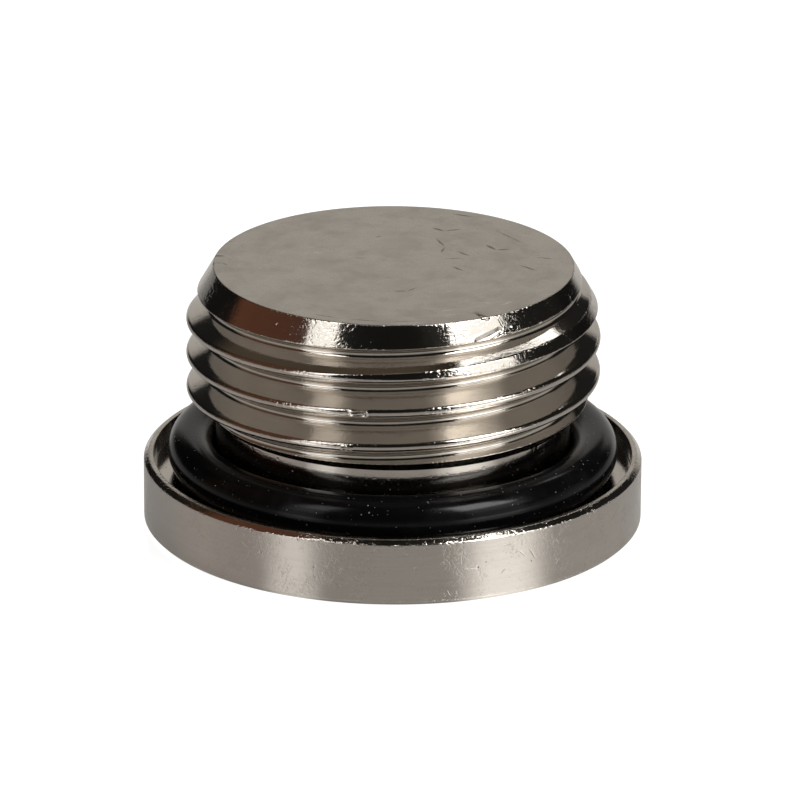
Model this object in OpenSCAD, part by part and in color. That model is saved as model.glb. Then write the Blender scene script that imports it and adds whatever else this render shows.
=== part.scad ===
/* [Thread] */
// Outside diameter of the pipe thread, over its crests (G 1/2)
thread_d = 20.955; // [16:0.005:32]
// Rise of the thread in one turn (14 turns to the inch)
thread_pitch = 1.814; // [1.2:0.001:2.4]
// Slope of each side of a thread tooth, from square to the axis
flank_angle = 27.5; // [25:0.5:30]
// Depth of the thread as a share of the pitch
depth_ratio = 0.6403; // [0.5:0.0001:0.65]
// Radius at the bottom of the thread groove, as a share of the pitch
root_ratio = 0.1373; // [0.08:0.0001:0.14]
// Length from the top of the neck to the end face
thread_len = 7.66; // [6:0.02:14]
// Turn of the thread about the axis
thread_turn = -100; // [-180:1:180]

/* [Thread ends] */
// How far the end chamfer cuts in from the crests
lead_cut = 1.375; // [0.8:0.005:1.8]
// Slope of the end chamfer, from the axis
lead_angle = 30; // [25:1:50]
// Slope of the cone between the neck and the thread, from the axis
tail_angle = 50; // [35:1:60]

/* [Neck and seal] */
// How far the neck lies below the bottom of the thread groove
neck_relief = 0.316; // [0.1:0.002:0.8]
// Thickness of the rubber ring's round section
ring_section = 2.4; // [1.6:0.1:3.2]
// Clearance between the resting ring and the neck, and under it
ring_clear = 0.02; // [0.01:0.01:0.2]
// Free height of the neck above the ring
neck_clear = 0.97; // [0.6:0.01:3]
// Gap round the ring, which it spreads into when it is clamped
rim_gap = 0.73; // [0.2:0.01:1.5]

/* [Flange] */
// Height of the flange, from its outer face to the rim
flange_h = 3.45; // [2.8:0.05:6]
// Depth of the recess that the ring lies in
recess_depth = 1; // [0.6:0.05:1.6]
// Thickness of the rim round the recess
rim_wall = 0.5; // [0.4:0.05:2]
// Width of the bevel on the rim's outer edge
bevel_w = 0.25; // [0.1:0.05:0.3]
// Height of the bevel on the rim's outer edge
bevel_h = 0.23; // [0.2:0.01:0.8]
// Break of the sharp edge round the outer face
edge_break = 0.2; // [0.1:0.05:0.6]

/* [Key socket] */
// Width across the flats of the hexagon key socket
hex_flats = 10; // [6:0.5:12]
// Depth of the hexagon's flats
hex_depth = 6; // [4:0.5:8]
// Width of the chamfer round the socket's mouth, past the hexagon's corners
mouth_lip = 0.3; // [0.1:0.1:1]
// Slope of the socket's mouth and of its drilled bottom, from the axis
drill_angle = 59; // [45:1:75]

/* [Hidden] */

// Flat facets on each turn of the thread
turn_steps = 72;
// Straight pieces along the round bottom of the groove
root_steps = 4;
// Spare length of a cutter past the face that it cuts
spare = 1;
$fn = 96;

// Radii of the plug, from the thread inwards and then out over the seal
thread_r = thread_d / 2;
root_r = thread_r - depth_ratio * thread_pitch;
neck_r = root_r - neck_relief;
ring_r = neck_r + ring_clear + ring_section / 2;
recess_r = ring_r + ring_section / 2 + rim_gap;
flange_r = recess_r + rim_wall;

// Heights of the plug, from its outer face up
floor_z = flange_h - recess_depth;
ring_z = floor_z + ring_clear + ring_section / 2;
neck_top_z = ring_z + ring_section / 2 + neck_clear;
end_z = neck_top_z + thread_len;

// Heights that the end chamfer and the lower cone take up on the thread
lead_len = lead_cut / tan(lead_angle);
tail_len = (thread_r - neck_r) / tan(tail_angle);

// Half of the profile of the blank that the thread is cut on
function blank_profile() = [
    [0, 0],
    [flange_r - edge_break, 0],
    [flange_r, edge_break],
    [flange_r, flange_h - bevel_h],
    [flange_r - bevel_w, flange_h],
    [recess_r, flange_h],
    [recess_r, floor_z],
    [neck_r, floor_z],
    [neck_r, neck_top_z],
    [thread_r, neck_top_z + tail_len],
    [thread_r, end_z - lead_len],
    [thread_r - lead_cut, end_z],
    [0, end_z]
];

// Arc at the bottom of the groove, and the radius where it runs into the flanks
root_fillet = root_ratio * thread_pitch;
foot_r = root_r + root_fillet * (1 - sin(flank_angle));
// Half the groove's width at a radius, and the flat left on the crests by it
function groove_half(r) = root_fillet * cos(flank_angle) + (r - foot_r) * tan(flank_angle);
crest_flat = thread_pitch - 2 * groove_half(thread_r);
// The cutter stands out past the crests until its turns come half as near again
cutter_r = thread_r + crest_flat / 4 / tan(flank_angle);

// Section of the thread groove as [radius, height] points: two straight
// flanks that run into an arc at the bottom
function groove_section() = let (
    sweep = 90 - flank_angle,
    arc = [for (i = [0 : root_steps])
        let (a = -sweep + 2 * sweep * i / root_steps)
        [root_r + root_fillet * (1 - cos(a)), root_fillet * sin(a)]]
) concat([[cutter_r, -groove_half(cutter_r)]], arc, [[cutter_r, groove_half(cutter_r)]]);

// The groove follows a right-hand helix: each ring of points is the section,
// turned by one step and raised by that step's share of the pitch. It starts
// in the air round the neck and ends above the end face.
module thread_groove() {
    section = groove_section();
    count = len(section);
    first_z = neck_top_z - 0.6 * thread_pitch;
    turns = (end_z - first_z) / thread_pitch + 0.4;
    steps = ceil(turns * turn_steps);
    points = [for (i = [0 : steps], p = section)
        let (a = thread_turn + 360 * i / turn_steps)
        [p[0] * cos(a), p[0] * sin(a), first_z + p[1] + thread_pitch * i / turn_steps]];
    sides = [for (i = [0 : steps - 1], j = [0 : count - 1])
        let (a = i * count + j, b = i * count + (j + 1) % count)
        each [[a, b + count, b], [a, a + count, b + count]]];
    first_cap = [for (j = [0 : count - 1]) j];
    last_cap = [for (j = [count - 1 : -1 : 0]) steps * count + j];
    polyhedron(points, concat(sides, [first_cap, last_cap]), convexity = 10);
}

// Hexagon socket for the key, with a chamfered mouth and the cone that the
// drill left at its end
module key_socket() {
    corner_r = hex_flats / 2 / cos(30);
    mouth_r = corner_r + mouth_lip;
    translate([0, 0, -spare])
        cylinder(r = corner_r, h = hex_depth + spare, $fn = 6);
    rotate_extrude()
        polygon([
            [0, -spare],
            [mouth_r + spare * tan(drill_angle), -spare],
            [0, mouth_r / tan(drill_angle)]
        ]);
    translate([0, 0, hex_depth])
        cylinder(r1 = hex_flats / 2, r2 = 0, h = hex_flats / 2 / tan(drill_angle));
}

// Nickel-plated brass plug, turned in one piece
module plug_body()
    color("#8f887c")
    difference() {
        rotate_extrude()
            polygon(blank_profile());
        thread_groove();
        key_socket();
    }

// Black rubber sealing ring round the neck, lying in the recess
module o_ring()
    color("#1b1b1d")
    rotate_extrude()
        translate([ring_r, ring_z])
            circle(d = ring_section);

plug_body();
o_ring();
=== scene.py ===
import math

import bpy
import numpy as np
from mathutils import Matrix, Vector


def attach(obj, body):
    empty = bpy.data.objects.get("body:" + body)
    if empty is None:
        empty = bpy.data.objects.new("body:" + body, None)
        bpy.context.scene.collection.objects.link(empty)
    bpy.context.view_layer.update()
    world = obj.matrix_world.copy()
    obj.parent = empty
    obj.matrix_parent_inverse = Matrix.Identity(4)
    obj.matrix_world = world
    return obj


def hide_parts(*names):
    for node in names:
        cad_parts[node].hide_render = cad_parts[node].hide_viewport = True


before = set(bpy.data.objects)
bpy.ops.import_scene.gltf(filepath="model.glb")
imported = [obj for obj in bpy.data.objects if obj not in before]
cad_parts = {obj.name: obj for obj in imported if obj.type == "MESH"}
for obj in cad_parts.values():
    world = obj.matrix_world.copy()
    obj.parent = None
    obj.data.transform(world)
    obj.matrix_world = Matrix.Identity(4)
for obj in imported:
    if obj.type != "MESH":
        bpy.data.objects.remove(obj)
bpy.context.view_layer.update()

# Plug body: one piece of brass, turned on a lathe, threaded, broached for the
# key and then plated with nickel. The end face and the flange keep a satin
# finish of fine turning marks, while the chamfers are bright.
MM = 0.001
THREAD_R = 10.4775
PITCH = 1.814
FLANK = math.radians(27.5)
ROOT_R = 9.316
ROOT_ARC = 0.249
NECK_TOP_Z = 5.84
END_Z = 13.5
FIRST_GROOVE_Z = NECK_TOP_Z - 0.6 * PITCH
THREAD_TURN = math.radians(-100)
LEAD_CUT = 1.375
LEAD_SLOPE = math.tan(math.radians(30))
TAIL_SLOPE = math.tan(math.radians(50))
NECK_R = 9.0
FLOOR_Z = 2.45
RECESS_R = 12.15
FLANGE_R = 12.65
FLANGE_H = 3.45
BEVEL_W = 0.25
BEVEL_H = 0.23
EDGE_BREAK = 0.2
KEY_HALF = 5.0
KEY_DEPTH = 6.0
MOUTH_R = KEY_HALF / math.cos(math.radians(30)) + 0.3
DRILL_SLOPE = math.tan(math.radians(59))

# Finish of each stretch: the roughness of its plating, and how pitted it is
DULL = 0.4, 0.4
SATIN = 0.28, 0.25
FLANGE_SATIN = 0.21, 0.85
SEAT = 0.12, 0.3
BRIGHT = 0.095, 1.0
NECK_BRIGHT = 0.09, 0.35
CUT = 0.08, 0.3
BEVEL_CUT = 0.1, 1.0

WIDE_STEP = math.radians(2)
CLOSE_STEP = math.radians(0.28)
WORKED = [(22, 44), (-15, -6), (2.5, 5.5)]
ROWS = 330
FINE_STEP = 0.006
EDGE_SPREAD = 4.5
MOST_TURN = math.radians(11)

# Dings as start, end, half width, depth, burr and the way they were struck
# (out from the axis, up): gouges and a chip at the end, then two crests and
# the flange's edge
DINGS = [
    ((4.18, -8.71, 12.53), (5.28, -7.90, 12.83), 0.13, 0.045, 0.006, (0.87, 0.5)),
    ((4.78, -8.44, 12.47), (5.83, -7.47, 12.90), 0.05, 0.035, 0.008, (0.87, 0.5)),
    ((5.23, -7.62, 13.32), (5.43, -7.72, 12.98), 0.04, 0.008, 0.005, (0.87, 0.5)),
    ((5.62, -7.80, 12.66), (6.30, -7.36, 12.52), 0.04, 0.008, 0.005, (0.87, 0.5)),
    ((4.42, -7.95, 13.50), (4.70, -7.82, 13.44), 0.07, 0.07, 0.0, (0.6, 0.8)),
    ((2.50, -9.29, 12.61), (2.85, -9.10, 12.75), 0.03, 0.007, 0.005, (0.87, 0.5)),
    ((2.50, -9.29, 12.61), (2.60, -9.13, 12.82), 0.03, 0.007, 0.005, (0.87, 0.5)),
    ((-1.95, -10.28, 9.20), (-1.40, -10.39, 9.28), 0.11, 0.10, 0.03, (1, 0)),
    ((-1.42, -10.38, 9.10), (-1.44, -10.38, 9.38), 0.06, 0.03, 0.05, (1, 0)),
    ((-2.46, -10.18, 7.38), (-2.14, -10.26, 7.36), 0.08, 0.07, 0.03, (1, 0)),
    ((6.75, -8.02, 11.54), (7.12, -7.70, 11.44), 0.05, 0.04, 0.03, (1, 0)),
    ((0.85, -12.62, 3.40), (0.91, -12.62, 3.26), 0.04, 0.03, 0.0, (1, 0)),
]


def blank_radius(z):
    """Radius of the blank under the thread: the crest radius, less what the two cones cut off near the ends."""
    tail = NECK_R + (z - NECK_TOP_Z) * TAIL_SLOPE
    lead = THREAD_R - LEAD_CUT + (END_Z - z) * LEAD_SLOPE
    return np.minimum(THREAD_R, np.minimum(tail, lead))


def groove_radius(offset):
    """Radius of the thread groove at a height from its middle: a round arc at the bottom, straight flanks, and the
    same arc again over the crest."""
    h = np.abs(offset)
    foot = ROOT_ARC * math.cos(FLANK)
    arc = ROOT_R + ROOT_ARC - np.sqrt(np.maximum(ROOT_ARC**2 - h**2, 0))
    line = ROOT_R + ROOT_ARC * (1 - math.sin(FLANK)) + (h - foot) / math.tan(FLANK)
    from_crest = PITCH / 2 - h
    crest = THREAD_R - ROOT_ARC + np.sqrt(np.maximum(ROOT_ARC**2 - from_crest**2, 0))
    return np.where(h < foot, arc, np.where(from_crest < foot, crest, line))


def along_each(where, at, *values):
    """Linear interpolation in every row of the arrays at once: each row's positions are shifted past those of the
    row before, so that one long interpolation serves them all."""
    shift = (at.max() + 1) * np.arange(len(at))[:, None]
    return [np.interp(where + shift, (at + shift).ravel(), v.ravel()) for v in values]


def rounded(curve, spread):
    """Each point of every row becomes the bell-weighted mean of its neighbours, which rounds the corners."""
    reach = int(3 * spread)
    weights = np.exp(-0.5 * (np.arange(-reach, reach + 1) / spread) ** 2)
    weights /= weights.sum()
    wide = np.pad(curve, ((0, 0), (reach, reach)), mode="reflect", reflect_type="odd")
    return sum(w * wide[:, k:k + curve.shape[1]] for k, w in enumerate(weights))


def plug_profile(angle):
    """Half profile of the plug at each angle as radius, height, roughness and pitting, from the tip of the drilled
    cone, through the socket, over the flange, the recess and the thread, to the middle of the end face."""
    one = np.ones((len(angle), 1))
    turn = np.degrees(angle)[:, None]
    flat_r = KEY_HALF / np.cos(np.radians(turn % 60 - 30))
    rise = np.linspace(NECK_TOP_Z, END_Z, 3001)[None, :] * one
    middle = FIRST_GROOVE_Z + PITCH * (angle[:, None] - THREAD_TURN) / (2 * math.pi)
    blank = blank_radius(rise)
    groove = groove_radius((rise - middle + PITCH / 2) % PITCH - PITCH / 2)
    thread_r = np.minimum(blank, groove)
    cone = (blank < groove) & (rise > END_Z - LEAD_CUT / LEAD_SLOPE)
    corners = [
        (0 * one, KEY_DEPTH + KEY_HALF / DRILL_SLOPE, DULL),
        (KEY_HALF * one, KEY_DEPTH, DULL),
        (flat_r, KEY_DEPTH, DULL),
        (flat_r, (MOUTH_R - flat_r) / DRILL_SLOPE, DULL),
        (MOUTH_R * one, 0, SATIN),
        ((FLANGE_R - EDGE_BREAK) * one, 0, CUT),
        (FLANGE_R * one, EDGE_BREAK, FLANGE_SATIN),
        (FLANGE_R * one, FLANGE_H - BEVEL_H, BEVEL_CUT),
        ((FLANGE_R - BEVEL_W) * one, FLANGE_H, FLANGE_SATIN),
        (RECESS_R * one, FLANGE_H, SEAT),
        (RECESS_R * one, FLOOR_Z, SEAT),
        (NECK_R * one, FLOOR_Z, NECK_BRIGHT),
        (NECK_R * one, NECK_TOP_Z, NECK_BRIGHT),
    ]
    columns = []
    for (r, z, finish), (r_next, z_next, _) in zip(corners, corners[1:]):
        columns += [(r, z, *finish), (r_next, z_next, *finish)]
    columns += [(thread_r, rise, *(np.where(cone, bright, cut) for bright, cut in zip(BRIGHT, CUT)))]
    columns += [(thread_r[:, -1:], END_Z, *SATIN), (0, END_Z, *SATIN)]
    return [np.hstack([part * one for part in parts]) for parts in zip(*columns)]


def spread_rows(radius, height, finish, pits, rows):
    """Places the grid's rows on each profile so that every step has an equal share of its length and of its turning,
    more closely on the thread and its chamfer. Gives radius, height, roughness, pitting, direction and how sharply
    the edge stands out."""
    length = np.hypot(np.diff(radius), np.diff(height))
    run = np.hstack([np.zeros((len(radius), 1)), np.cumsum(length, 1)])
    count = int(run.max() / FINE_STEP)
    even = np.linspace(0, 1, count)[None, :] * run[:, -1:]
    radius, height, finish, pits = along_each(even, run, radius, height, finish, pits)
    radius, height = rounded(radius, EDGE_SPREAD), rounded(height, EDGE_SPREAD)
    slope = np.arctan2(np.gradient(height, axis=1), np.gradient(radius, axis=1))
    turning = np.gradient(np.unwrap(slope, axis=1), axis=1)
    on_thread = (height > NECK_TOP_Z - 0.1) & (height < END_Z) & (radius > NECK_R - 0.01)
    on_cone = on_thread & (height > END_Z - LEAD_CUT / LEAD_SLOPE) & (pits > 0.9)
    longest = np.where(on_cone, 0.07, np.where(on_thread, 0.22, 1.4))
    share = FINE_STEP / longest + rounded(np.abs(turning), 6) / MOST_TURN
    share = np.cumsum(share, 1) - share[:, :1]
    where = np.linspace(0, 1, rows)[None, :] * share[:, -1:]
    edge = rounded(np.clip(turning, 0, None), 3) / FINE_STEP
    return along_each(where, share, radius, height, finish, pits, np.cos(slope), np.sin(slope), edge)


def grid_mesh(name, points, normals, poles=True, **marks):
    """Mesh from a grid of points, columns by rows. The columns close into a ring. With poles, the first and the last
    row are one point each; without, the rows close into a ring as well. Marks are numbers kept on the points."""
    columns, rows = points.shape[:2]
    i, j = np.meshgrid(np.arange(columns), np.arange(rows - 1 if poles else rows), indexing="ij")
    index = np.arange(columns * rows).reshape(columns, rows)
    if poles:
        index = index.copy()
        index[:, 0], index[:, -1] = index[0, 0], index[0, -1]
    ahead, above = (i + 1) % columns, (j + 1) % rows
    quads = np.stack([index[i, j], index[ahead, j], index[ahead, above], index[i, above]], -1)
    used = np.unique(index)
    renumber = np.zeros(columns * rows, int)
    renumber[used] = np.arange(len(used))
    quads = renumber[quads].reshape(-1, 4)
    faces = [list(dict.fromkeys(q)) for q in quads.tolist()]
    mesh = bpy.data.meshes.new(name)
    mesh.from_pydata((points.reshape(-1, 3)[used] * MM).tolist(), [], faces)
    for mark, values in marks.items():
        kept = mesh.attributes.new(mark, "FLOAT", "POINT")
        kept.data.foreach_set("value", values.reshape(-1)[used].astype(np.float32))
    mesh.shade_smooth()
    mesh.normals_split_custom_set_from_vertices(normals.reshape(-1, 3)[used])
    piece = bpy.data.objects.new(name, mesh)
    bpy.context.scene.collection.objects.link(piece)
    return piece


def column_angles():
    """Angles of the grid's columns: a wide step all round, with a close one added where there are dings."""
    angle = np.linspace(-math.pi, math.pi, 36001)
    front = np.degrees((angle + 1.5 * math.pi) % (2 * math.pi) - math.pi)
    closer = sum(1 / (1 + np.exp(-(front - low) / 0.4)) / (1 + np.exp((front - high) / 0.4)) for low, high in WORKED)
    count = np.cumsum(1 / WIDE_STEP + closer / CLOSE_STEP) * (angle[1] - angle[0])
    return np.interp(np.arange(int(count[-1])) * count[-1] / int(count[-1]), count, angle)


def ding_shift(points):
    """How far each point moves: along every ding it sinks by a bell over the distance from the ding's line, and
    rises beside it by a second bell."""
    shift = np.zeros_like(points)
    outward = points[..., :2] / np.maximum(np.linalg.norm(points[..., :2], axis=-1, keepdims=True), 1e-6)
    for start, end, half, depth, burr, (out, up) in DINGS:
        start, line = np.array(start), np.subtract(end, start)
        share = np.clip((points - start) @ line / (line @ line), 0, 1)
        away = np.linalg.norm(points - start - share[..., None] * line, axis=-1)
        sink = burr * np.exp(-((away - 1.7 * half) / (0.5 * half)) ** 2) - depth * np.exp(-(away / half) ** 2)
        shift += sink[..., None] * np.concatenate([out * outward, np.full_like(share, up)[..., None]], -1)
    return shift


def dinged(points, normals, along):
    """Points moved by the dings. The new normals are square to the two directions in the surface, each bent by the
    change of the shift along it."""
    around = np.cross(along, normals)
    bent = [way + (ding_shift(points + 0.003 * way) - ding_shift(points - 0.003 * way)) / 0.006
            for way in (around, along)]
    return points + ding_shift(points), np.cross(*bent)


def plug_surface():
    """The profiles turned about the axis. The normals stand square to the profile and to the line from column to
    column, so that the rounded edges shade evenly."""
    angle = column_angles()
    radius, height, finish, pits, out, up, edge = spread_rows(*plug_profile(angle), ROWS)
    c, s = np.cos(angle)[:, None], np.sin(angle)[:, None]
    points = np.stack([radius * c, radius * s, height], -1)
    along = np.stack([out * c, out * s, up], -1)
    along /= np.linalg.norm(along, axis=-1, keepdims=True)
    before, after = angle - np.roll(angle, 1), np.roll(angle, -1) - angle
    before, after = ((step % (2 * math.pi))[:, None, None] for step in (before, after))
    across = (np.roll(points, -1, 0) - points) * before / after + (points - np.roll(points, 1, 0)) * after / before
    across += 1e-6 * np.stack([-s + 0 * radius, c + 0 * radius, 0 * radius], -1)
    normals = np.cross(across, along)
    normals /= np.linalg.norm(normals, axis=-1, keepdims=True)
    points, normals = dinged(points, normals, along)
    normals /= np.linalg.norm(normals, axis=-1, keepdims=True)
    normals[:, 0], normals[:, -1] = (0, 0, -1), (0, 0, 1)
    return grid_mesh("plug", points, normals, finish=finish, pits=pits, edge=edge)


plug = plug_surface()
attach(plug, "root")
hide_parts("plug_body")


def add(tree, kind, values=(), **settings):
    """A new shader node with its settings. Each value is a plain one for that input, or an output wired to it."""
    made = tree.nodes.new("ShaderNode" + kind)
    for setting, value in settings.items():
        setattr(made, setting, value)
    for socket, value in dict(values).items():
        if isinstance(value, bpy.types.NodeSocket):
            tree.links.new(value, made.inputs[socket])
        else:
            made.inputs[socket].default_value = value
    return made


def sums(tree, operation, *values):
    """Output of one step of arithmetic on numbers or outputs."""
    return add(tree, "Math", enumerate(values), operation=operation).outputs[0]


def vectors(tree, operation, *values):
    """Output of one step of arithmetic on vectors: a number for a length or a dot product, else a vector."""
    made = add(tree, "VectorMath", enumerate(values), operation=operation)
    return made.outputs["Value" if operation in ("LENGTH", "DOT_PRODUCT") else "Vector"]


def noise(tree, position, scale, detail=3.0, roughness=0.55):
    """Soft three-dimensional noise from 0 to 1, at so many waves to the millimetre."""
    values = {"Vector": position, "Scale": scale, "Detail": detail, "Roughness": roughness}
    return add(tree, "TexNoise", values).outputs["Fac"]


def ramp(tree, value, low, high, to_low=0.0, to_high=1.0):
    """A value eased from one range to another."""
    values = {"Value": value, "From Min": low, "From Max": high, "To Min": to_low, "To Max": to_high}
    return add(tree, "MapRange", values, interpolation_type="SMOOTHSTEP").outputs[0]


def new_material(name):
    """A material with one Principled shader, wired to its output, and the place on the piece in millimetres."""
    material = bpy.data.materials.new(name)
    material.use_nodes = True
    tree = material.node_tree
    place = add(tree, "TexCoord").outputs["Object"]
    scaled = add(tree, "VectorMath", {0: place, "Scale": 1000.0}, operation="SCALE").outputs[0]
    return material, tree, tree.nodes["Principled BSDF"], scaled


def new_group(name, inputs, output):
    """A shader node group with named inputs and one named output. Gives its tree, its inputs and its output."""
    tree = bpy.data.node_groups.new(name, "ShaderNodeTree")
    for socket, kind in inputs:
        tree.interface.new_socket(socket, in_out="INPUT", socket_type="NodeSocket" + kind)
    tree.interface.new_socket(output, in_out="OUTPUT", socket_type="NodeSocketFloat")
    return tree, tree.nodes.new("NodeGroupInput").outputs, tree.nodes.new("NodeGroupOutput").inputs[0]


def use(tree, group, **values):
    """Output of a node group placed in a material with its own values."""
    made = add(tree, "Group", node_tree=group)
    for socket, value in values.items():
        socket = made.inputs[socket.replace("_", " ")]
        if isinstance(value, bpy.types.NodeSocket):
            tree.links.new(value, socket)
        else:
            socket.default_value = value
    return made.outputs[0]


# Specks: round spots scattered in cells, on a share of them only
tree, given, mask = new_group(
    "specks", [("Position", "Vector"), ("Per mm", "Float"), ("Share", "Float"), ("Size", "Float")], "Mask")
specks = tree
cell = add(tree, "TexVoronoi", {"Vector": given["Position"], "Scale": given["Per mm"]})
chance = add(tree, "SeparateColor", {0: cell.outputs["Color"]})
chosen = sums(tree, "LESS_THAN", chance.outputs[0], given["Share"])
reach = sums(tree, "MULTIPLY", given["Size"], sums(tree, "ADD", chance.outputs[1], 0.4))
spot = ramp(tree, cell.outputs["Distance"], 1.0, 0.3)
tree.links.new(sums(tree, "DIVIDE", cell.outputs["Distance"], reach), spot.node.inputs["Value"])
tree.links.new(sums(tree, "MULTIPLY", spot, chosen), mask)

# Scratch: a long thin lens round its middle, turned to its line
tree, given, mask = new_group(
    "scratch", [("Position", "Vector"), ("Middle", "Vector"), ("Turn", "Vector"), ("Halves", "Vector")], "Mask")
scratch = tree
values = {"Vector": given["Position"], "Location": given["Middle"], "Rotation": given["Turn"], "Scale": given["Halves"]}
lens = add(tree, "Mapping", values, vector_type="TEXTURE").outputs[0]
tree.links.new(ramp(tree, vectors(tree, "LENGTH", lens), 1.0, 0.3), mask)


# Hairlines: fine short lines that all run one way, from noise drawn out along it
tree, given, mask = new_group("hairlines", [("Position", "Vector"), ("Turn", "Vector")], "Mask")
hairlines = tree
values = {"Vector": given["Position"], "Rotation": given["Turn"], "Scale": (1.4, 0.09, 0.09)}
drawn = add(tree, "Mapping", values, vector_type="TEXTURE").outputs[0]
tree.links.new(ramp(tree, noise(tree, drawn, 1.0, 1.0), 0.615, 0.735), mask)


def scratches(tree, position, marks):
    """The strongest of many scratches, each given by its two ends and half its width."""
    most = 0.0
    for start, end, half in marks:
        start, end = Vector(start), Vector(end)
        turn = (end - start).to_track_quat("X", "Z").to_euler()
        one = use(tree, scratch, Position=position, Middle=(start + end) / 2, Turn=turn,
                  Halves=((end - start).length / 2 + half, half, half))
        most = sums(tree, "MAXIMUM", one, most)
    return most


# Marks as start, end and half width: the deep, the dark and the bright ones on the end face, with painted shade along
# the two gouges in the chamfer among the dark ones, and those on the flange's side
DEEP_MARKS = [
    ((1.99, 5.64, END_Z), (2.55, 5.18, END_Z), 0.135),
    ((2.55, 5.18, END_Z), (3.47, 5.51, END_Z), 0.0945),
    ((4.67, 3.05, END_Z), (5.17, 2.29, END_Z), 0.149),
    ((5.17, 2.29, END_Z), (5.93, 2.45, END_Z), 0.0945),
    ((3.15, 2.10, END_Z), (3.85, 1.35, END_Z), 0.0945),
    ((2.88, -0.20, END_Z), (3.53, -0.94, END_Z), 0.0945),
    ((6.31, 0.01, END_Z), (7.20, -0.88, END_Z), 0.0945),
    ((2.97, 7.85, END_Z), (4.10, 7.40, END_Z), 0.108),
    ((-9.10, 1.13, END_Z), (-8.60, 1.13, END_Z), 0.15),
]
DARK_MARKS = [
    ((2.14, 4.09, END_Z), (2.59, 2.71, END_Z), 0.084),
    ((2.59, 2.71, END_Z), (2.39, 1.78, END_Z), 0.07),
    ((4.95, 5.69, END_Z), (6.75, 3.08, END_Z), 0.056),
    ((2.38, 0.86, END_Z), (3.59, 1.04, END_Z), 0.056),
    ((7.08, 1.25, END_Z), (8.19, 0.96, END_Z), 0.07),
    # Painted shade along the two gouges in the chamfer
    ((4.30, -8.63, 12.56), (5.24, -7.93, 12.82), 0.09),
    ((4.78, -8.44, 12.47), (5.83, -7.47, 12.90), 0.05),
    ((-4.20, -7.40, END_Z), (-2.40, -8.20, END_Z), 0.05),
    ((-2.40, -8.20, END_Z), (-0.40, -8.55, END_Z), 0.06),
    ((-0.40, -8.55, END_Z), (1.60, -8.40, END_Z), 0.05),
    ((-0.03, -4.01, END_Z), (0.67, -4.00, END_Z), 0.07),
    ((0.67, -4.00, END_Z), (1.12, -3.54, END_Z), 0.07),
    ((-2.01, 0.94, END_Z), (-1.35, 0.95, END_Z), 0.056),
    ((-0.91, 4.19, END_Z), (-0.61, 4.35, END_Z), 0.07),
    ((-8.48, 3.45, END_Z), (-8.22, 3.45, END_Z), 0.084),
    ((-9.20, -0.40, END_Z), (-9.01, 0.06, END_Z), 0.07),
    ((-9.01, 0.06, END_Z), (-8.66, 0.07, END_Z), 0.07),
    ((-8.66, 0.07, END_Z), (-8.35, -0.23, END_Z), 0.07),
]
BRIGHT_MARKS = [
    ((2.16, -4.42, END_Z), (3.32, -3.66, END_Z), 0.056),
    ((5.34, -6.00, END_Z), (5.99, -5.40, END_Z), 0.084),
    ((2.21, -7.09, END_Z), (3.30, -6.48, END_Z), 0.056),
    ((2.40, -7.67, END_Z), (3.15, -7.37, END_Z), 0.056),
    ((-4.54, 1.51, END_Z), (-4.15, 2.13, END_Z), 0.042),
    ((-4.15, 2.13, END_Z), (-3.73, 1.53, END_Z), 0.042),
    ((4.60, -5.72, END_Z), (4.80, -5.72, END_Z), 0.084),
]
FLANGE_MARKS = [
    ((3.50, -12.16, 2.82), (3.46, -12.17, 1.92), 0.0455),
    ((3.22, -12.23, 0.62), (3.32, -12.21, 0.50), 0.065),
    ((2.72, -12.35, 0.77), (2.97, -12.30, 0.43), 0.052),
    ((6.29, -10.98, 2.38), (6.64, -10.77, 1.98), 0.052),
    ((6.79, -10.67, 2.37), (7.15, -10.44, 1.74), 0.065),
    ((3.61, -12.12, 1.85), (4.35, -11.88, 1.65), 0.052),
    ((5.35, -11.46, 1.23), (5.65, -11.32, 1.60), 0.052),
    ((7.96, -9.83, 0.76), (8.37, -9.49, 1.01), 0.052),
    ((-8.83, -9.05, 2.02), (-8.48, -9.39, 2.20), 0.13),
    ((-7.57, -10.14, 2.50), (-7.06, -10.49, 2.16), 0.039),
    ((-9.60, -8.24, 2.12), (-9.35, -8.53, 1.97), 0.065),
    ((-4.71, -11.74, 3.30), (-4.62, -11.78, 3.10), 0.078),
]

nickel, tree, shader, place = new_material("nickel_plate")
rough = add(tree, "Attribute", attribute_name="finish").outputs["Fac"]
pitted = add(tree, "Attribute", attribute_name="pits").outputs["Fac"]
edge = ramp(tree, add(tree, "Attribute", attribute_name="edge").outputs["Fac"], 1.0, 8.0)
parts = add(tree, "SeparateXYZ", {0: place}).outputs
flat_place = add(tree, "CombineXYZ", {0: parts[0], 1: parts[1]}).outputs[0]
from_axis = vectors(tree, "LENGTH", flat_place)
feed = sums(tree, "MULTIPLY_ADD", from_axis, -0.618, parts[2])
lathe = add(tree, "CombineXYZ", {0: sums(tree, "MULTIPLY", parts[0], 0.3), 1: sums(tree, "MULTIPLY", parts[1], 0.3),
                                 2: sums(tree, "MULTIPLY", feed, 8.0)}).outputs[0]
turned = noise(tree, lathe, 1.0, 3.0, 0.65)
pits = ramp(tree, noise(tree, place, 5.5, 2.0, 0.6), 0.45, 0.75)
cloud = noise(tree, place, 0.25, 2.0, 0.6)
smudge = noise(tree, place, 0.7, 4.0, 0.65)
nicks = use(tree, specks, Position=place, Per_mm=2.6, Share=0.10, Size=0.20)
wavy = add(tree, "VectorMath", {0: add(tree, "TexNoise", {"Vector": place, "Scale": 2.0, "Detail": 3.0}).outputs[1],
                                1: (0.14, 0.14, 0.14), 2: place}, operation="MULTIPLY_ADD").outputs[0]
wavy = vectors(tree, "SUBTRACT", wavy, (0.07, 0.07, 0.07))
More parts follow.
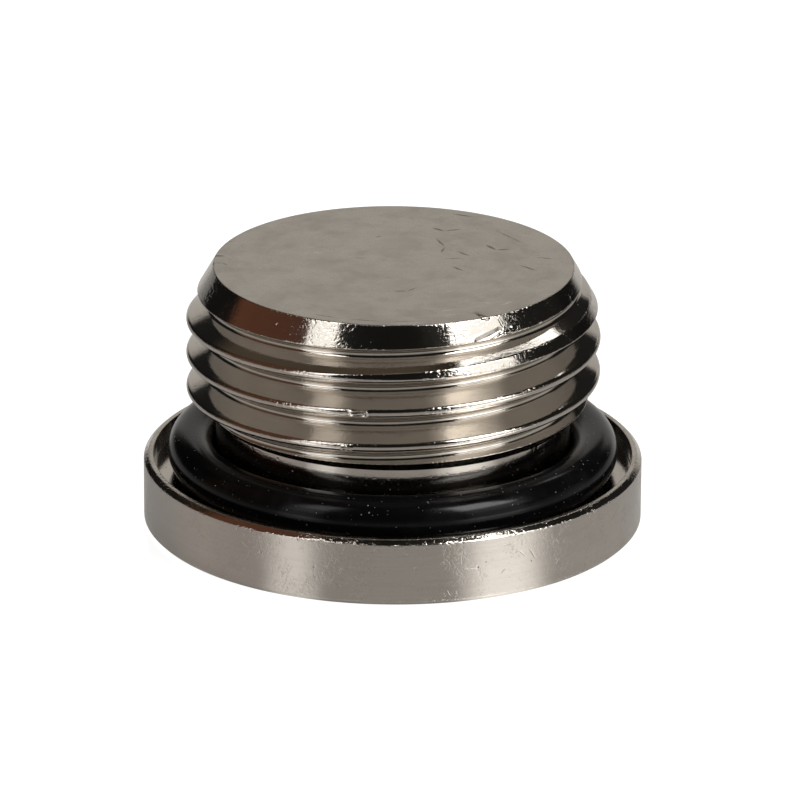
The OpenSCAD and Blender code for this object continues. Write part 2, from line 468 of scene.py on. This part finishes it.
fine = sums(tree, "MAXIMUM", use(tree, hairlines, Position=wavy, Turn=(0.5, 0.9, 0.3)),
            use(tree, hairlines, Position=wavy, Turn=(-0.9, -0.5, 1.1)))
fine = sums(tree, "MAXIMUM", fine, use(tree, hairlines, Position=wavy, Turn=(0.2, -1.2, -0.6)))
fine = sums(tree, "MULTIPLY", fine, ramp(tree, rough, 0.14, 0.2))
fine = sums(tree, "MULTIPLY", fine, ramp(tree, pitted, 0.2, 0.8, 0.4, 1.0))
fine = sums(tree, "MULTIPLY", fine, ramp(tree, smudge, 0.4, 0.62, 0.15, 1.0))
deep = scratches(tree, wavy, DEEP_MARKS)
dark = sums(tree, "MAXIMUM", deep, scratches(tree, wavy, DARK_MARKS))
bright = scratches(tree, wavy, BRIGHT_MARKS)
dented = scratches(tree, wavy, FLANGE_MARKS)

nicked = sums(tree, "MULTIPLY", nicks, pitted)
cut_depth = sums(tree, "MULTIPLY", sums(tree, "MULTIPLY_ADD", dented, 2.5, deep), -0.004)
worn = sums(tree, "MULTIPLY", sums(tree, "MULTIPLY_ADD", edge, 3.5, pitted), ramp(tree, smudge, 0.35, 0.65, 0.15, 1.0))
height = sums(tree, "MULTIPLY_ADD", sums(tree, "MULTIPLY", pits, worn), -0.006, cut_depth)
height = sums(tree, "MULTIPLY_ADD", turned, 0.0028, height)
height = sums(tree, "MULTIPLY_ADD", fine, -0.006, height)
height = sums(tree, "MULTIPLY_ADD", nicked, -0.016, height)
bump = add(tree, "Bump", {"Distance": MM, "Strength": 1.0, "Height": height})
tree.links.new(bump.outputs[0], shader.inputs["Normal"])

shade = ramp(tree, cloud, 0.35, 0.65, 0.965, 1.01)
shade = sums(tree, "MULTIPLY", shade, ramp(tree, smudge, 0.5, 0.75, 1.005, 0.96))
shade = sums(tree, "MULTIPLY", shade, ramp(tree, turned, 0.3, 0.7, 0.975, 1.025))
shade = sums(tree, "MULTIPLY", shade, sums(tree, "MULTIPLY_ADD", fine, -0.1, 1.0))
shade = sums(tree, "MULTIPLY", shade, sums(tree, "MULTIPLY_ADD", nicked, -0.25, 1.0))
# Darker along the dark marks, which include painted shade in the chamfer's gouges
shade = sums(tree, "MULTIPLY", shade, sums(tree, "MULTIPLY_ADD", dark, -0.72, 1.0))
shade = sums(tree, "MULTIPLY", shade, sums(tree, "MULTIPLY_ADD", bright, 0.4, 1.0))
plate = add(tree, "Mix", {0: 1.0, 6: (0.53, 0.49, 0.438, 1)}, data_type="RGBA", blend_type="MULTIPLY")
tree.links.new(add(tree, "CombineColor", {0: shade, 1: shade, 2: shade}).outputs[0], plate.inputs[7])
tree.links.new(plate.outputs[2], shader.inputs["Base Color"])
rough = sums(tree, "MULTIPLY", rough, ramp(tree, smudge, 0.3, 0.75, 0.9, 1.2))
rough = sums(tree, "MULTIPLY_ADD", edge, 0.06, rough)
tree.links.new(rough, shader.inputs["Roughness"])
shader.inputs["Metallic"].default_value = 1
plug.data.materials.append(nickel)


# O-ring: a black rubber ring of round section, which lies round the neck in
# the flange's recess. It is moulded, with a soft sheen and a little dust.
RING_R = 10.22
RING_HALF = 1.2
RING_Z = 3.67


def ring_surface():
    """A circle carried round the axis: the first parameter is the angle round the axis, the second round the section."""
    turn = np.arange(288)[:, None] * 2 * math.pi / 288
    lap = np.arange(56)[None, :] * 2 * math.pi / 56
    c, s = np.cos(turn), np.sin(turn)
    radius = RING_R + RING_HALF * np.cos(lap)
    points = np.stack([radius * c, radius * s, RING_Z + RING_HALF * np.sin(lap) + 0 * turn], -1)
    normals = np.stack([np.cos(lap) * c, np.cos(lap) * s, np.sin(lap) + 0 * turn], -1)
    return grid_mesh("seal_ring", points, normals, poles=False)


ring = ring_surface()
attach(ring, "root")
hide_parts("o_ring")

rubber, tree, shader, place = new_material("black_rubber")
dust = use(tree, specks, Position=place, Per_mm=3.6, Share=0.85, Size=0.15)
film = ramp(tree, noise(tree, place, 0.5, 4.0, 0.6), 0.45, 0.75)
dust = sums(tree, "MULTIPLY", dust, ramp(tree, noise(tree, place, 1.3, 2.0, 0.6), 0.4, 0.65, 0.15, 1.0))
skin = noise(tree, place, 9.0, 3.0, 0.6)
pale = sums(tree, "MULTIPLY_ADD", dust, 0.3, sums(tree, "MULTIPLY_ADD", film, 0.004, 0.003))
tree.links.new(add(tree, "CombineColor", {0: pale, 1: pale, 2: sums(tree, "MULTIPLY", pale, 1.05)}).outputs[0],
               shader.inputs["Base Color"])
tree.links.new(ramp(tree, noise(tree, place, 1.5), 0.3, 0.7, 0.14, 0.2), shader.inputs["Roughness"])
height = sums(tree, "MULTIPLY_ADD", dust, 0.01, sums(tree, "MULTIPLY", skin, 0.0025))
bump = add(tree, "Bump", {"Distance": MM, "Strength": 1.0, "Height": height})
tree.links.new(bump.outputs[0], shader.inputs["Normal"])
shader.inputs["Specular IOR Level"].default_value = 0.15
ring.data.materials.append(rubber)


# Studio: a pale floor, two tall soft strips of light at the front left and
# front right, and a pale room behind the plug, dark above the camera.
FLOOR_SIDE = 3.0


def floor_sheet():
    """A flat square sheet through the foot of the plug."""
    h = FLOOR_SIDE / 2
    mesh = bpy.data.meshes.new("floor")
    mesh.from_pydata([(-h, -h, 0), (h, -h, 0), (h, h, 0), (-h, h, 0)], [], [(0, 1, 2, 3)])
    piece = bpy.data.objects.new("floor", mesh)
    bpy.context.scene.collection.objects.link(piece)
    return piece


floor = floor_sheet()
paper, tree, shader, place = new_material("floor_paper")
shader.inputs["Base Color"].default_value = (0.31, 0.295, 0.28, 1)
shader.inputs["Roughness"].default_value = 0.12
shader.inputs["IOR"].default_value = 2.4

# Two beams of painted light glow in the floor from the front lamps to the plug, a wedge each, and brighter near its
# lamp; only reflections see them. The flange and the thread mirror them as upright bands.
parts = add(tree, "SeparateXYZ", {0: place}).outputs
away = vectors(tree, "LENGTH", place)
bearing = sums(tree, "ARCTAN2", parts[0], sums(tree, "MULTIPLY", parts[1], -1.0))
spread = sums(tree, "SUBTRACT", 2.0, sums(tree, "DIVIDE", FLANGE_R, sums(tree, "MAXIMUM", away, FLANGE_R)))
beam = sums(tree, "MULTIPLY", sums(tree, "DIVIDE", bearing, spread), 180 / math.pi)
right_painted_beam = sums(tree, "MULTIPLY", ramp(tree, beam, 12.0, 23.0), ramp(tree, beam, 42.0, 29.0))
left_painted_beam = sums(tree, "MULTIPLY", ramp(tree, beam, -33.0, -24.0), ramp(tree, beam, -14.0, -22.0))
painted_beams = sums(tree, "MULTIPLY_ADD", right_painted_beam, 0.78, sums(tree, "MULTIPLY", left_painted_beam, 0.43))
painted_beams = sums(tree, "MULTIPLY", painted_beams, ramp(tree, away, 25.0, 110.0, 1.0, 4.8))

seen = add(tree, "LightPath").outputs
mirrored = sums(tree, "MAXIMUM", seen["Is Glossy Ray"], seen["Is Transmission Ray"])
# Painted light: a faint extra glow in the floor beside the beams, near the plug
beside = sums(tree, "MULTIPLY", ramp(tree, sums(tree, "ABSOLUTE", beam), 34.0, 52.0), ramp(tree, away, 60.0, 30.0))
painted_beams = sums(tree, "MULTIPLY_ADD", beside, 0.05, painted_beams)
# Reflections see the floor's painted light, the beams on an even glow; the camera sees the floor white
glow = sums(tree, "MULTIPLY", mirrored, sums(tree, "ADD", painted_beams, 0.235))
glow = sums(tree, "MULTIPLY_ADD", seen["Is Camera Ray"], 0.93, glow)
shader.inputs["Emission Color"].default_value = (1, 1, 1, 1)
tree.links.new(glow, shader.inputs["Emission Strength"])
floor.data.materials.append(paper)

# Brightness of the room by bearing in degrees (0 is the front, the right is
# positive): the low wall round the table, and what is above it
WALL = [
    (-180, (0.56, 0.54, 0.51)),
    (-162, (0.56, 0.54, 0.51)),
    (-155, (0.01, 0.01, 0.01)),
    (-116, (0.01, 0.01, 0.01)),
    (-106, (0.17, 0.155, 0.13)),
    (-64, (0.17, 0.155, 0.13)),
    (-56, (0.02, 0.02, 0.02)),
    (-34, (0.02, 0.02, 0.02)),
    (-28, (0.10, 0.10, 0.095)),
    (30, (0.10, 0.10, 0.095)),
    (36, (0.02, 0.02, 0.02)),
    (68, (0.02, 0.02, 0.02)),
    (74, (0.35, 0.34, 0.32)),
    (108, (0.35, 0.34, 0.32)),
    (114, (0.01, 0.01, 0.01)),
    (146, (0.01, 0.01, 0.01)),
    (154, (0.56, 0.54, 0.51)),
    (180, (0.56, 0.54, 0.51)),
]
ABOVE = [
    (-180, (0.02, 0.02, 0.02)),
    (-115, (0.01, 0.01, 0.01)),
    (-109, (0.14, 0.06, 0.035)),
    (-62, (0.10, 0.045, 0.03)),
    (-56, (0.01, 0.01, 0.01)),
    (0, (0.012, 0.012, 0.01)),
    (180, (0.02, 0.02, 0.02)),
]
HIGH = [
    (-180, (0.095, 0.075, 0.055)),
    (-126, (0.095, 0.075, 0.055)),
    (-115, (0.02, 0.016, 0.012)),
    (-109, (0.14, 0.06, 0.035)),
    (-62, (0.10, 0.045, 0.03)),
    (-56, (0.01, 0.01, 0.01)),
    (120, (0.012, 0.012, 0.01)),
    (150, (0.03, 0.025, 0.02)),
    (170, (0.095, 0.075, 0.055)),
    (180, (0.095, 0.075, 0.055)),
]

world = bpy.data.worlds.new("studio")
bpy.context.scene.world = world
world.use_nodes = True
tree = world.node_tree
wire = tree.links.new
background = tree.nodes["Background"]
place = add(tree, "TexCoord")
split = add(tree, "SeparateXYZ")
wire(place.outputs["Generated"], split.inputs[0])
toward = add(tree, "Math", {1: -1.0}, operation="MULTIPLY")
wire(split.outputs["Y"], toward.inputs[0])
bearing = add(tree, "Math", operation="ARCTAN2")
wire(split.outputs["X"], bearing.inputs[0])
wire(toward.outputs[0], bearing.inputs[1])
level = add(tree, "MapRange", {"From Min": -math.pi, "From Max": math.pi})
wire(bearing.outputs[0], level.inputs["Value"])


def colour_ramp(stops):
    """A colour ramp over the bearing, from stops of degrees and colour."""
    ramp = add(tree, "ValToRGB")
    band = ramp.color_ramp
    while len(band.elements) < len(stops):
        band.elements.new(0.5)
    for element, (degrees, colour) in zip(band.elements, stops):
        element.position = (degrees + 180) / 360
    for element, (degrees, colour) in zip(band.elements, stops):
        element.color = (*colour, 1)
    wire(level.outputs[0], ramp.inputs["Fac"])
    return ramp.outputs["Color"]


def blend(below, above, amount):
    """Colour output of a mix from one colour to another by an amount."""
    mix = add(tree, "Mix", data_type="RGBA")
    wire(amount, mix.inputs["Factor"])
    for colour, socket in ((below, mix.inputs[6]), (above, mix.inputs[7])):
        if isinstance(colour, tuple):
            socket.default_value = (*colour, 1)
        else:
            wire(colour, socket)
    return mix.outputs[2]


# The wall's top is 33 degrees up right behind the plug, 17 degrees at the
# ends of its back and 11 degrees elsewhere
turned_away = add(tree, "Math", operation="ABSOLUTE")
wire(bearing.outputs[0], turned_away.inputs[0])
beside = add(tree, "MapRange", {"From Min": math.radians(143), "From Max": math.radians(150), "To Min": 0.2,
                                "To Max": 0.29})
behind = add(tree, "MapRange", {"From Min": math.radians(160), "From Max": math.radians(170), "To Min": 0,
                                "To Max": 0.26})
wire(turned_away.outputs[0], beside.inputs["Value"])
wire(turned_away.outputs[0], behind.inputs["Value"])
top = add(tree, "Math", operation="ADD")
wire(beside.outputs[0], top.inputs[0])
wire(behind.outputs[0], top.inputs[1])
over = add(tree, "Math", operation="SUBTRACT")
wire(split.outputs["Z"], over.inputs[0])
wire(top.outputs[0], over.inputs[1])
wall_top = add(tree, "MapRange", {"From Min": -0.02, "From Max": 0.02}, interpolation_type="SMOOTHSTEP")
wire(over.outputs[0], wall_top.inputs["Value"])
room = blend(colour_ramp(WALL), colour_ramp(ABOVE), wall_top.outputs[0])
high = add(tree, "MapRange", {"From Min": 0.5, "From Max": 0.66}, interpolation_type="SMOOTHSTEP")
wire(split.outputs["Z"], high.inputs["Value"])
room = blend(room, colour_ramp(HIGH), high.outputs[0])
ceiling = add(tree, "MapRange", {"From Min": 0.98, "From Max": 0.993}, interpolation_type="SMOOTHSTEP")
wire(split.outputs["Z"], ceiling.inputs["Value"])
room = blend(room, (0.26, 0.235, 0.205), ceiling.outputs[0])
seen = add(tree, "LightPath")
room = blend(room, (1, 1, 1), seen.outputs["Is Camera Ray"])
wire(room, background.inputs["Color"])


def strip_light(name, bearing, wide, low, high, level, distance=0.32):
    """An upright soft light that fills an angle of bearing and of height, seen from the plug, at a given brightness."""
    a = math.radians(bearing)
    facing = Vector((math.sin(a), -math.cos(a), 0))
    bottom, top = (distance * math.tan(math.radians(e)) for e in (low, high))
    width = 2 * distance * math.tan(math.radians(wide / 2))
    lamp = bpy.data.lights.new(name, "AREA")
    lamp.shape = "RECTANGLE"
    lamp.size, lamp.size_y = width, top - bottom
    lamp.energy = level * math.pi * width * (top - bottom)
    made = bpy.data.objects.new(name, lamp)
    made.location = facing * distance + Vector((0, 0, (bottom + top) / 2))
    made.rotation_euler = facing.to_track_quat("Z", "Y").to_euler()
    made.visible_camera = False
    bpy.context.scene.collection.objects.link(made)


strip_light("left_high_strip", -47, 19, 40, 62, 3.8)
strip_light("left_middle_strip", -47, 19, 24, 40, 1.75)
strip_light("left_low_strip", -47, 19, 0, 24, 0.9)
strip_light("right_high_strip", 57, 36, 40, 62, 12.0)
strip_light("right_middle_strip", 57, 36, 24, 40, 1.85)
strip_light("right_low_strip", 54, 30, 0, 24, 0.95)
strip_light("back_strip", 144, 8, 42, 70, 3.0)

# Camera: a long lens a little above the plug, turned by a third of a degree
TARGET = Vector((0, 0, 7)) * MM
DISTANCE = 418.62 * MM
ELEVATION = math.radians(20.18)
ROLL = math.radians(0.3155)
AIM_RIGHT, AIM_DOWN = 0.3524 * MM, 0.7339 * MM
back = Vector((0, -math.cos(ELEVATION), math.sin(ELEVATION)))
up = Vector((0, math.sin(ELEVATION), math.cos(ELEVATION)))
eye = TARGET + back * DISTANCE
aim = TARGET + Vector((1, 0, 0)) * AIM_RIGHT - up * AIM_DOWN
camera = bpy.data.objects.new("camera", bpy.data.cameras.new("camera"))
bpy.context.scene.collection.objects.link(camera)
camera.data.sensor_width = 36
camera.data.lens = 371.8
camera.data.clip_start, camera.data.clip_end = 0.01, 10
z_axis = (eye - aim).normalized()
x_axis = up.cross(z_axis).normalized()
y_axis = z_axis.cross(x_axis)
turned = Matrix((x_axis, y_axis, z_axis)).transposed() @ Matrix.Rotation(ROLL, 3, "Z")
camera.matrix_world = Matrix.Translation(eye) @ turned.to_4x4()
bpy.context.scene.camera = camera
bpy.context.scene.view_settings.view_transform = "Standard"
bpy.context.scene.cycles.glossy_bounces = 8

bpy.context.view_layer.update()
